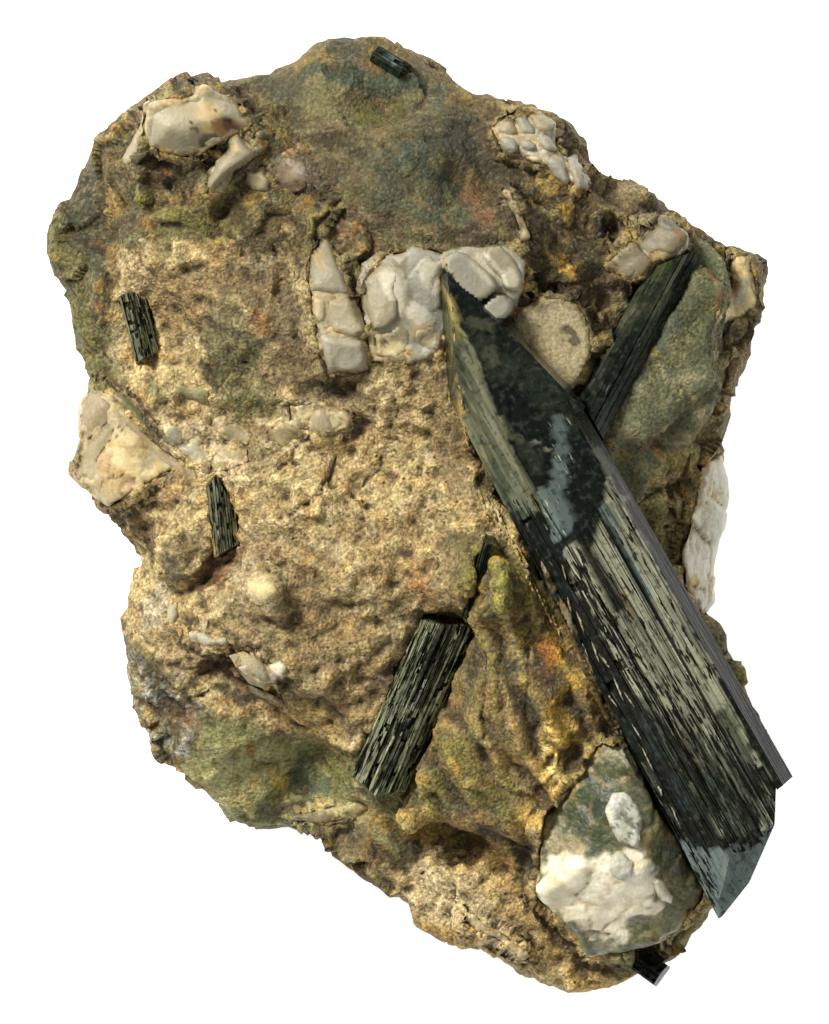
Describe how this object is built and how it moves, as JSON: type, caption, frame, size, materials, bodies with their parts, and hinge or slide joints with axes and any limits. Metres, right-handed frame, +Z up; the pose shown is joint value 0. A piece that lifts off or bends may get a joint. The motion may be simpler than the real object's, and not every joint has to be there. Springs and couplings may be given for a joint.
{
  "type": "aegirine crystal on matrix",
  "caption": "Hand-size mineral specimen: a long dark green-black aegirine crystal lies across a rugged lump of weathered syenite with white feldspar, smaller crystals and a cleavage block.",
  "frame": {"origin": "under the middle of the whole specimen, on the flat broken back that it lies on", "axes": "+Z up, out of the specimen's front; +Y along its longest side, towards the top of the picture; +X to the right of the picture"},
  "size_m": [0.0746, 0.0956, 0.0422],
  "materials": {
    "syenite": "rough, granular weathered crust with dark brown and grey-green broken rock",
    "aegirine": "glassy, striated along the crystal",
    "white_feldspar": "satin cleavage faces with iron-stained cracks",
    "clear_feldspar": "translucent, slightly glossy",
    "tan_feldspar": "matt, speckled",
    "green_cleavage": "translucent, with bright cleavage faces"
  },
  "bodies": {
    "root": {"matrix_rock": "syenite", "main_crystal": "aegirine", "crossing_crystal": "aegirine", "lower_crystal": "aegirine", "thin_blade": "aegirine", "left_crystal": "aegirine", "centre_crystal": "aegirine", "top_crystal": "aegirine", "bottom_crystal": "aegirine", "clear_slab": "clear_feldspar", "cleavage_block": "green_cleavage", "feldspar_knob": "white_feldspar", "feldspar_shard": "white_feldspar", "feldspar_column": "white_feldspar", "feldspar_mass": "white_feldspar", "feldspar_ridge": "white_feldspar", "feldspar_chip": "white_feldspar", "feldspar_blade": "white_feldspar", "feldspar_rim": "white_feldspar", "feldspar_corner": "white_feldspar", "tan_rhomb": "tan_feldspar", "feldspar_left_edge": "white_feldspar", "feldspar_band": "white_feldspar", "feldspar_right_edge": "white_feldspar", "feldspar_lower_edge": "white_feldspar", "flake_bright": "white_feldspar", "flake_pale": "white_feldspar", "strip_pale": "white_feldspar"}
  },
  "joints": []
}
